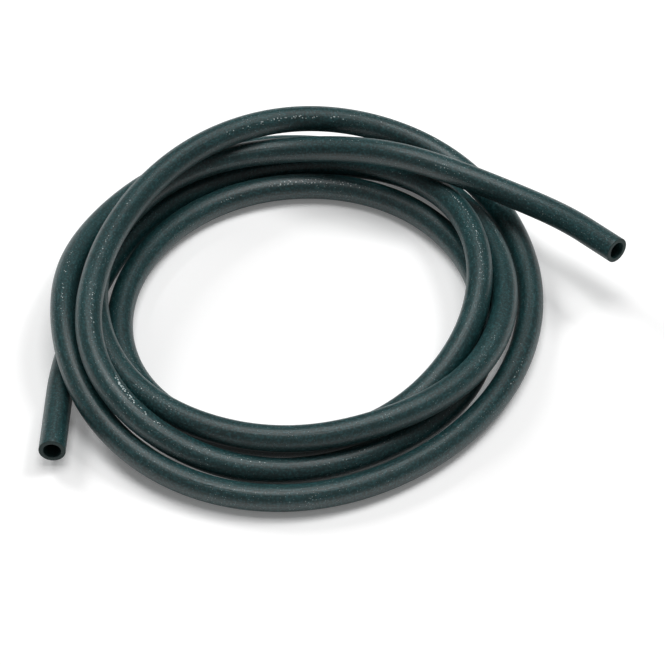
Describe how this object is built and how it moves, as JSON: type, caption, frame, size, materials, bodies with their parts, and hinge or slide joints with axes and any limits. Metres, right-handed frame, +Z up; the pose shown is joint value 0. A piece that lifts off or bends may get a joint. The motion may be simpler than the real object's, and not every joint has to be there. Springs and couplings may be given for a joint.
{
  "type": "rubber gas tubing",
  "caption": "Length of thick-walled black-green rubber gas tubing lying in a loose flat coil, with an open round bore and both ends cut square.",
  "frame": {"origin": "on the bench, under the middle of the whole tubing's footprint", "axes": "+X across the coil towards the raised end, +Y away from the low end, +Z up from the bench"},
  "size_m": [0.2619, 0.2308, 0.0385],
  "materials": {
    "rubber": "satin, very dark green-black, a trace of pale bloom"
  },
  "bodies": {
    "root": {"tubing": "rubber"}
  },
  "joints": []
}
